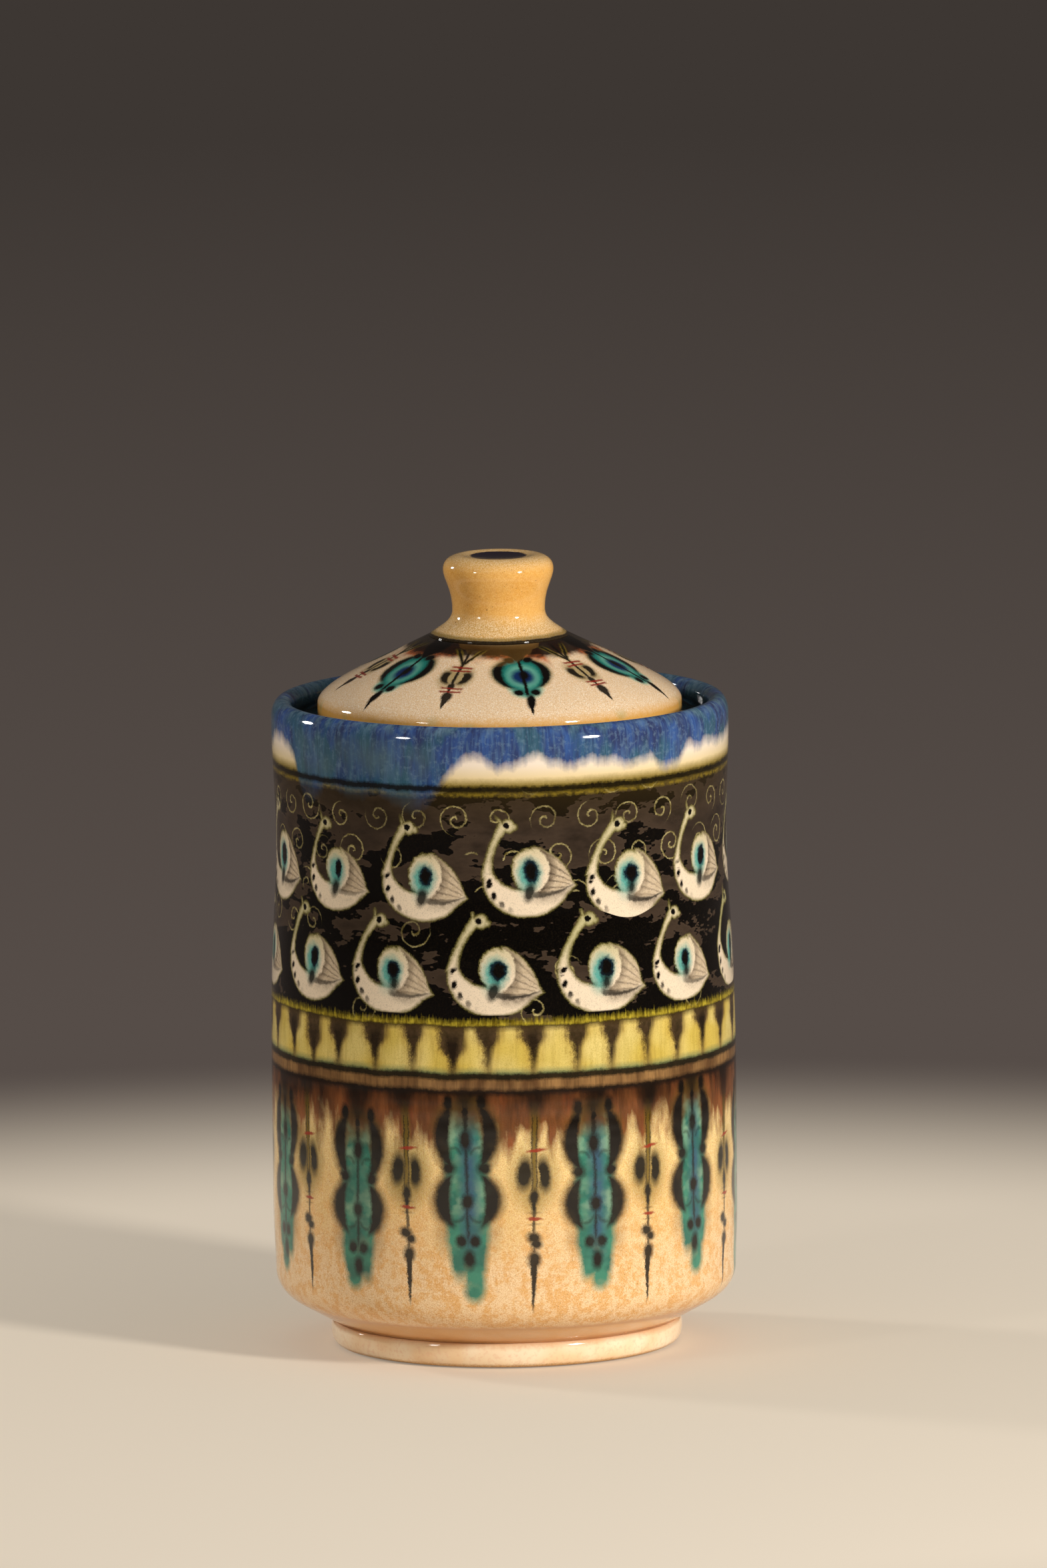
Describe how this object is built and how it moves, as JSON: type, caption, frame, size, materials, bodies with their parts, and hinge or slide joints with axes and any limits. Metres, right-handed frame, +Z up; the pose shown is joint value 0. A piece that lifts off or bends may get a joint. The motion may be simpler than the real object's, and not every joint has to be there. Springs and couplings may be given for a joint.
{
  "type": "lidded jar",
  "caption": "Tall round lidded jar of glazed pottery with a turned foot, a rounded rim and a low conical lid that rests on a ledge in the mouth and lifts off by its knob.",
  "frame": {"origin": "centre of the foot's resting plane, on the jar's own axis", "axes": "+Z up along the jar's axis; the painted pattern runs all round, so X and Y have no front or side"},
  "size_m": [0.12, 0.12, 0.205],
  "materials": {
    "jar_body": "glossy clear glaze over painted bands, blue run glaze at the rim",
    "foot_ring": "glossy pale pink glaze, worn at the resting edge",
    "lid_seat_ring": "glossy dark glaze",
    "lid_cover": "glossy clear glaze over painted pinkish cream ground",
    "lid_flange": "thin cream glaze, satin",
    "lid_knob": "glossy ochre glaze with brown speckle"
  },
  "bodies": {
    "jar": {"jar_body": "jar_body", "foot_ring": "foot_ring", "lid_seat_ring": "lid_seat_ring"},
    "lid": {"lid_cover": "lid_cover", "lid_flange": "lid_flange", "lid_knob": "lid_knob"}
  },
  "joints": [
    {"name": "lid_lift", "type": "slide", "parent": "jar", "child": "lid", "axis": [0, 0, 1], "range_m": [0, 0.1]}
  ]
}
